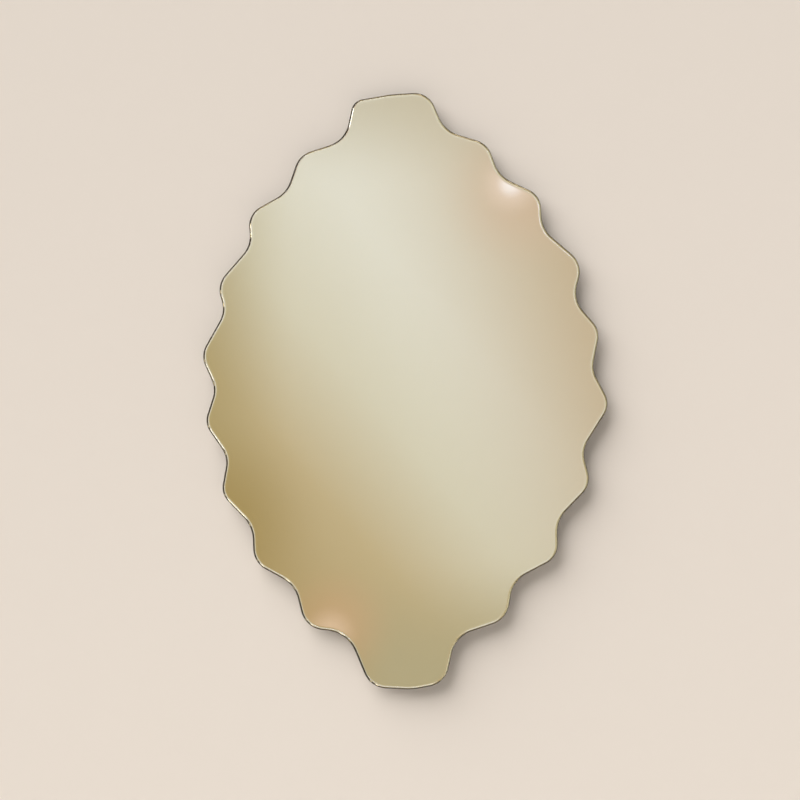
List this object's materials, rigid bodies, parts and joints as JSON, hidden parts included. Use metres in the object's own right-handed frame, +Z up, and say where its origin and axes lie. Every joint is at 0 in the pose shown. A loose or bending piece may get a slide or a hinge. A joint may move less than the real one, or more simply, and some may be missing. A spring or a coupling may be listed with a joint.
{
  "type": "wall mirror",
  "caption": "Frameless wall mirror with an irregular scalloped outline: tinted glass bonded to a shaped board, hung by a lift-off pair of hook rails.",
  "frame": {"origin": "on the wall's surface, midway between the wall rail's screw holes", "axes": "+X to the right along the wall as seen from the front, +Y into the wall, +Z up"},
  "size_m": [0.607, 0.025, 0.8953],
  "materials": {
    "tinted_glass": "clear champagne-bronze float glass, narrow polished bevel",
    "silvering": "silvered, seen through the tint",
    "safety_film": "grey woven-backed vinyl film",
    "foam_tape": "closed-cell foam, double-sided",
    "mirror_adhesive": "cured neutral adhesive",
    "backing_board": "brown fibreboard with its edge sprayed black",
    "rail_aluminium": "mill-finish extrusion",
    "zinc_screws": "zinc plated",
    "bumper_rubber": "matt black moulded"
  },
  "bodies": {
    "wall": {"wall_rail": "rail_aluminium"},
    "mirror": {"mirror_glass": "tinted_glass", "silver_coating": "silvering", "safety_film": "safety_film", "foam_tape_1": "foam_tape", "foam_tape_2": "foam_tape", "foam_tape_3": "foam_tape", "foam_tape_4": "foam_tape", "foam_tape_5": "foam_tape", "adhesive_bead_1": "mirror_adhesive", "adhesive_bead_2": "mirror_adhesive", "adhesive_bead_3": "mirror_adhesive", "adhesive_bead_4": "mirror_adhesive", "backing_board": "backing_board", "hanger_rail": "rail_aluminium", "hanger_rail_screws": "zinc_screws", "bumper_left": "bumper_rubber", "bumper_right": "bumper_rubber", "bumper_washers": "zinc_screws", "bumper_screws": "zinc_screws"}
  },
  "joints": [
    {"name": "lift_off", "type": "slide", "parent": "wall", "child": "mirror", "axis": [0, 0, 1], "range_m": [0, 0.015]}
  ]
}
